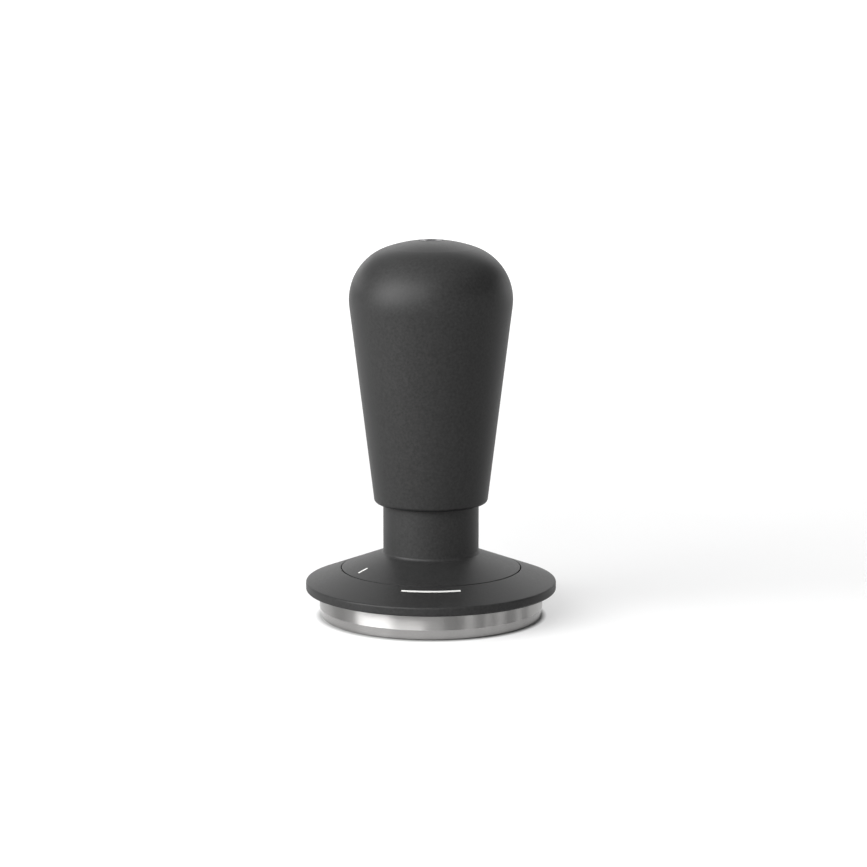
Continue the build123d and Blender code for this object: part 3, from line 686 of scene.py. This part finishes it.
@dataclass(frozen=True)
class Softbox:
    """A rectangular lamp that looks at the tool.

    Attributes:
        name: The lamp's name.
        azimuth: Degrees to the right of the camera's side, about the tool.
        elevation: Degrees above the floor.
        distance: Metres from the tool.
        width: Metres across.
        height: Metres tall.
        power: Watts.
    """

    name: str
    azimuth: float
    elevation: float
    distance: float
    width: float
    height: float
    power: float

    def hang(self, target: Vector) -> None:
        """Put the lamp in its place and aim it.

        Args:
            target: The point that it looks at.
        """
        lamp = bpy.data.lights.new(self.name, "AREA")
        lamp.shape = "RECTANGLE"
        lamp.size, lamp.size_y, lamp.energy = self.width, self.height, self.power
        holder = bpy.data.objects.new(self.name, lamp)
        way = compass(self.azimuth, self.elevation)
        holder.location = target + way * self.distance
        holder.rotation_euler = way.to_track_quat("Z", "Y").to_euler()
        bpy.context.collection.objects.link(holder)


@dataclass(frozen=True)
class Card:
    """A curved card that stands beside the set, for the metal to mirror.

    Attributes:
        name: The card's name.
        start: Azimuth of its first edge, in degrees.
        end: Azimuth of its last edge, in degrees.
        foot: Metres from the floor to its lower edge.
        top: Metres from the floor to its upper edge.
        level: How bright it is, where one is white and more than one a lit screen.
        radius: Metres from the tool.
        steps: Flat strips that make up its curve.
    """

    name: str
    start: float
    end: float
    foot: float
    top: float
    level: float
    radius: float = 2.0
    steps: int = 24

    def stand(self) -> None:
        """Stand the card on the set. The camera doesn't see it, and it throws no shadow."""
        ways = [compass(self.start + (self.end - self.start) * i / self.steps, 0) * self.radius
                for i in range(self.steps + 1)]
        verts = [(way.x, way.y, z) for way in ways for z in (self.foot, self.top)]
        faces = [(2 * i, 2 * i + 1, 2 * i + 3, 2 * i + 2) for i in range(self.steps)]
        material = bare_material(self.name)
        tree = material.node_tree
        glow = add(tree, "ShaderNodeEmission", None, {"Color": WHITE, "Strength": self.level})
        add(tree, "ShaderNodeOutputMaterial", None, {"Surface": (glow, 0)})
        card = stage_mesh(self.name, verts, faces, material)
        card.visible_camera = False
        card.visible_shadow = False


@dataclass(frozen=True)
class Floor:
    """A wide sweep of grey paper that glows white and keeps the tool's soft shadow.

    The glow is only for the camera and for mirrors, so the floor throws no more light on the tool
    than grey paper does. It fades in across the disc's edge, a painted contact shadow, so that the disc
    stands in a thin dark line.

    Attributes:
        reach: Metres from its middle to its edges.
        drop: Metres that it lies below the tool, so that the two don't share a face.
        paper: The paper's hex colour.
        near: Metres from the middle within which the glow is at its least.
        near_glow: The glow's strength there.
        far: Metres from the middle beyond which the glow is at its most.
        far_glow: The glow's strength there.
        line: How far inside the disc's edge the glow starts and how far outside it is full, in metres.
            The weak glow between is painted contact shadow.
    """

    reach: float = 12.0
    drop: float = 0.05 * MM
    paper: str = "#a4a4a4"
    near: float = 0.15
    near_glow: float = 0.55
    far: float = 1.2
    far_glow: float = 1.05
    line: tuple[float, float] = (0.25 * MM, 1.25 * MM)

    def glow(self, tree: Tree) -> Link:
        """Make the strength of the glow, with the painted contact shadow at the disc's edge.

        Args:
            tree: The paper's node tree.

        Returns:
            The node and output that hold the strength.
        """
        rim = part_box("base_disc")[1][0]
        spot = add(tree, "ShaderNodeTexCoord")
        away = add(tree, "ShaderNodeVectorMath", {"operation": "LENGTH"}, {0: (spot, "Object")})
        wide = add(tree, "ShaderNodeMapRange", None, {
            "Value": (away, "Value"), "From Min": self.near, "From Max": self.far,
            "To Min": self.near_glow, "To Max": self.far_glow})
        # Painted contact shadow: no glow under the disc, rising to full just outside its edge.
        clear = add(tree, "ShaderNodeMapRange", None, {
            "Value": (away, "Value"), "From Min": rim - self.line[0], "From Max": rim + self.line[1]})
        both = add(tree, "ShaderNodeMath", {"operation": "MULTIPLY"}, {0: (clear, 0), 1: (wide, 0)})
        masked = add(tree, "ShaderNodeMath", {"operation": "MULTIPLY"}, {0: seen(tree), 1: (both, 0)})
        return masked, 0

    def lay(self) -> None:
        """Lay the floor under the tool."""
        material = bare_material("grey_paper_sweep")
        tree = material.node_tree
        paper = add(tree, "ShaderNodeBsdfPrincipled", None, {
            "Base Color": srgb(self.paper), "Roughness": 0.9, "Specular IOR Level": 0.1,
            "Emission Color": WHITE, "Emission Strength": self.glow(tree)})
        add(tree, "ShaderNodeOutputMaterial", None, {"Surface": (paper, 0)})
        corners = [(x * self.reach, y * self.reach, -self.drop)
                   for x, y in ((-1, -1), (1, -1), (1, 1), (-1, 1))]
        stage_mesh("floor", corners, [(0, 1, 2, 3)], material)


LOW, HIGH = (0.0, 0.6), (0.6, 1.7)      # foot and top of the low cards, and of the flags above them
DARK = 0.02                             # level of a card in black velvet


@dataclass
class Studio:
    """White floor, soft light, the cards that the steel mirrors, and the camera.

    Attributes:
        camera_distance: Metres from the camera to the point that it looks at.
        camera_elevation: Degrees that it stands above the floor.
        focal_mm: Focal length on the sensor below.
        sensor_mm: Width of the sensor.
        aim_height: Metres from the floor to the point that camera and lamps look at.
        shift: The lens's shift, as a share of the frame.
        world_level: Strength of the even light from all round.
        floor: What the tool stands on.
        softboxes: The lamps: three at the left, one above the other, and a weak one behind.
        cards: Pale and dark cards, and two flags above them that keep the grip's flanks dark.
    """

    camera_distance: float = 0.75
    camera_elevation: float = 9.682
    focal_mm: float = 119.65
    sensor_mm: float = 36.0
    aim_height: float = 0.050
    shift: tuple[float, float] = (0.0029, -0.0075)
    world_level: float = 0.30
    floor: Floor = Floor()
    softboxes: tuple[Softbox, ...] = (
        # name, azimuth, elevation, distance, width, height, power
        Softbox("key_low", -61, 14, 1.3, 0.95, 0.6, 17.0),
        Softbox("key_high", -43, 33, 1.3, 1.6, 0.6, 24.5),
        Softbox("key_top", -38, 66, 1.3, 1.4, 0.8, 3.0),
        Softbox("rim", 172, 26, 1.3, 1.1, 0.5, 2.6),
    )
    cards: tuple[Card, ...] = (
        # name, start, end, foot, top, level
        Card("shoulder_glow", -165, -122, 0.25, 0.7, 3.0),
        Card("left_back", -150, -112, 0.0, 0.25, 0.05),
        Card("left_dark", -112, -99, *LOW, DARK),
        Card("front_left", -40, -20, *LOW, 2.4),
        Card("front", -20, 12, *LOW, 1.8),
        Card("right_dark_0", 12, 34, *LOW, DARK),
        Card("right_pale_0", 34, 45, *LOW, 3.6),
        Card("right_dark_1", 45, 57, *LOW, DARK),
        Card("right_pale_1", 57, 63, *LOW, 3.2),
        Card("right_dark_2", 63, 70, *LOW, DARK),
        Card("right_pale_2", 70, 80, *LOW, 3.0),
        Card("right_dark_3", 80, 97, *LOW, DARK),
        Card("right_pale_3", 97, 105, *LOW, 2.8),
        Card("right_dark_4", 105, 116, *LOW, 0.1),
        Card("right_back", 116, 150, *LOW, 2.0),
        Card("right_flag", 14, 150, *HIGH, 0.03),
        Card("left_flag", -150, -92, *HIGH, 0.15),
    )

    def light_world(self) -> None:
        """Fill the set with even light, and show white behind it."""
        world = bpy.data.worlds.new("white_studio")
        world.use_nodes = True
        tree = world.node_tree
        tree.nodes.clear()
        level = add(tree, "ShaderNodeMapRange", None, {
            "Value": seen(tree), "To Min": self.world_level, "To Max": 1.0})
        sky = add(tree, "ShaderNodeBackground", None, {"Color": WHITE, "Strength": (level, 0)})
        add(tree, "ShaderNodeOutputWorld", None, {"Surface": (sky, 0)})
        bpy.context.scene.world = world

    def place_camera(self, target: Vector) -> None:
        """Stand the camera before the tool, a little above it.

        Args:
            target: The point that it looks at.
        """
        lens = bpy.data.cameras.new("camera")
        lens.sensor_width, lens.lens = self.sensor_mm, self.focal_mm
        lens.shift_x, lens.shift_y = self.shift
        lens.clip_start, lens.clip_end = 0.05, 50.0
        camera = bpy.data.objects.new("camera", lens)
        way = compass(0, self.camera_elevation)
        camera.location = target + way * self.camera_distance
        camera.rotation_euler = way.to_track_quat("Z", "Y").to_euler()
        bpy.context.collection.objects.link(camera)
        bpy.context.scene.camera = camera

    def build(self) -> None:
        """Set up the whole studio."""
        target = Vector((0, 0, self.aim_height))
        self.floor.lay()
        self.light_world()
        self.place_camera(target)
        for softbox in self.softboxes:
            softbox.hang(target)
        for card in self.cards:
            card.stand()
        bpy.context.scene.view_settings.view_transform = "Standard"


def main() -> None:
    """Build the studio and the tool."""
    logging.basicConfig(level=logging.INFO, format="%(name)s %(message)s")
    for part in (Studio(), Housing(), Grip(), Striker(), ForceAdjuster(), DepthFlange(), TampingBase()):
        part.build()
        LOG.info("%s built", type(part).__name__)


if __name__ == "__main__":
    main()
